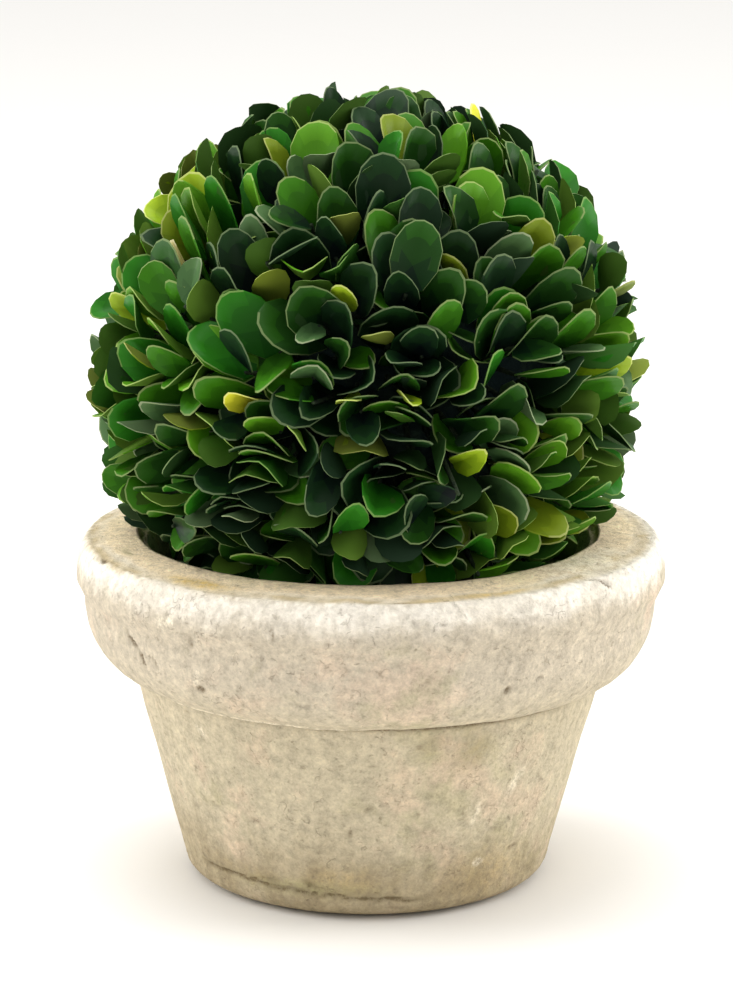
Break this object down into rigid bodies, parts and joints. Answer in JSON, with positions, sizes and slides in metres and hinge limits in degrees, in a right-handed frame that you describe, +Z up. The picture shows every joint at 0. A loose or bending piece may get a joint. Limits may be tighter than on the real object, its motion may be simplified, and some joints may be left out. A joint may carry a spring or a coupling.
{
  "type": "preserved box ball in a pot",
  "caption": "Clipped ball of box leaves on a short stem, set in a round tapering pot with a thick soft rim and a weathered pale clay finish.",
  "frame": {"origin": "middle of the pot's flat underside", "axes": "+Z up through the stem and the ball, -Y towards the viewer in the front view; the part is round, so X and Y are free"},
  "size_m": [0.12, 0.12, 0.1603],
  "materials": {
    "aged_clay": "matte, sandy and stained, with pits and hairline cracks",
    "dark_filling": "rough fibre",
    "bark": "rough bark",
    "box_leaves": "satin green leaves"
  },
  "bodies": {
    "root": {"pot": "aged_clay", "filling": "dark_filling", "stem": "bark", "crown": "box_leaves"}
  },
  "joints": []
}
